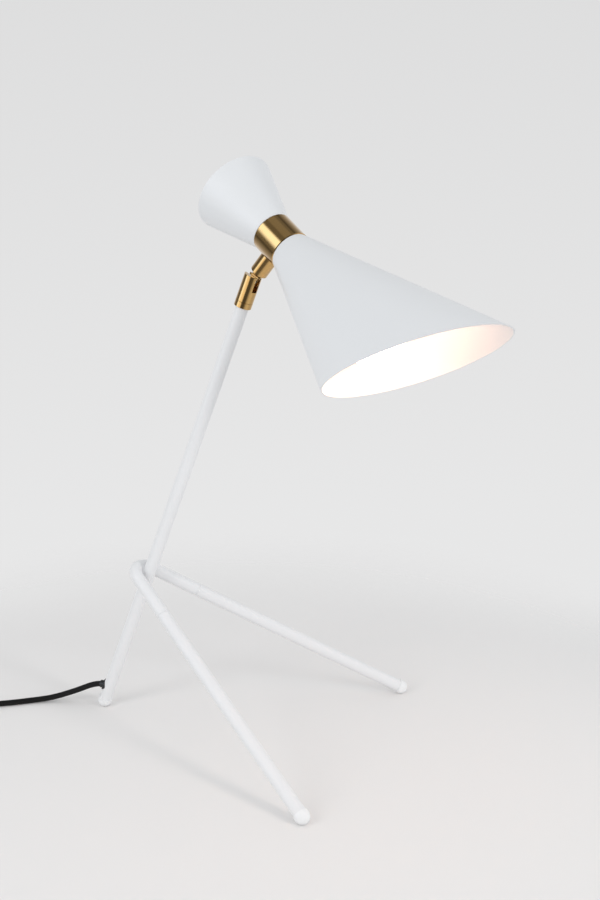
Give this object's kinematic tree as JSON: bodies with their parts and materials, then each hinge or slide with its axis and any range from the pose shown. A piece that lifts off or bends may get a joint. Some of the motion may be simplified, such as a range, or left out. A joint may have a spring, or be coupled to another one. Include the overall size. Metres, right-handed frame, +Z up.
{
  "type": "desk lamp",
  "caption": "Tripod desk lamp with a leaning stem, splayed front legs on a bent bracket, and a slant-cut double-cone shade on a tilting brass swivel knuckle.",
  "frame": {"origin": "middle of the rear foot's flat, on the table", "axes": "+Z up; +X from the rear foot towards the two front feet, the way the stem leans; +Y to the lamp's left"},
  "size_m": [0.6652, 0.3559, 0.536],
  "materials": {
    "white_paint": "fine matt powder coat",
    "satin_brass": "satin, turned",
    "bright_steel": "zinc plated",
    "plated_brass": "nickel plated",
    "foot_plastic": "satin",
    "washer_plastic": "plain",
    "black_plastic": "fine matt",
    "rocker_plastic": "satin",
    "black_textile": "braided sleeve",
    "tie_strap": "plain",
    "wire_sleeve": "plain",
    "holder_plastic": "plain",
    "insert_ceramic": "plain",
    "frosted_glass": "frosted, lit",
    "bulb_light": "lit"
  },
  "bodies": {
    "base": {"stem_tube": "white_paint", "hairpin_bracket": "white_paint", "bracket_weld": "white_paint", "left_leg": "white_paint", "right_leg": "white_paint", "leg_studs": "bright_steel", "rear_foot": "foot_plastic", "left_foot": "foot_plastic", "right_foot": "foot_plastic", "cord_grommet": "black_plastic", "swivel_base": "satin_brass", "swivel_stop_pin": "bright_steel", "swivel_washer": "bright_steel", "swivel_nut": "bright_steel", "stem_wires": "wire_sleeve", "cord_run": "black_textile", "cord_link": "black_textile", "cord_coil": "black_textile", "cord_tail": "black_textile", "cord_tie": "tie_strap", "switch_base": "black_plastic", "switch_cover": "black_plastic", "switch_screws": "bright_steel", "plug_body": "black_plastic", "plug_pins": "plated_brass"},
    "swivel": {"swivel_barrel": "satin_brass", "fork": "satin_brass", "pivot_screw": "satin_brass", "friction_washers": "washer_plastic"},
    "head": {"tongue": "satin_brass", "tongue_nut": "bright_steel", "waist_collar": "satin_brass", "clamp_nipple": "bright_steel", "rear_washer": "bright_steel", "rear_nut": "bright_steel", "front_washer": "bright_steel", "front_nut": "bright_steel", "rear_cone": "white_paint", "front_cone": "white_paint", "lampholder": "holder_plastic", "contact_insert": "insert_ceramic", "screw_shell": "plated_brass", "centre_contact": "plated_brass", "bulb_cap": "plated_brass", "bulb_globe": "frosted_glass", "bulb_core": "bulb_light", "head_wires": "wire_sleeve"},
    "rocker": {"switch_rocker": "rocker_plastic"}
  },
  "joints": [
    {"name": "shade_swivel", "type": "hinge", "parent": "base", "child": "swivel", "pos_m": [0.16191, 0, 0.42799], "axis": [0.3584, 0, 0.9336], "range_deg": [-135.8, 184.2]},
    {"name": "shade_tilt", "type": "hinge", "parent": "swivel", "child": "head", "pos_m": [0.16191, 0, 0.42799], "axis": [0.3827, 0.9121, -0.1469], "range_deg": [-95.8, 54.2]},
    {"name": "switch_rocking", "type": "hinge", "parent": "base", "child": "rocker", "pos_m": [-0.16141, -0.07768, 0.0116], "axis": [0.4819, -0.8762, 0], "range_deg": [-14, 0]}
  ]
}
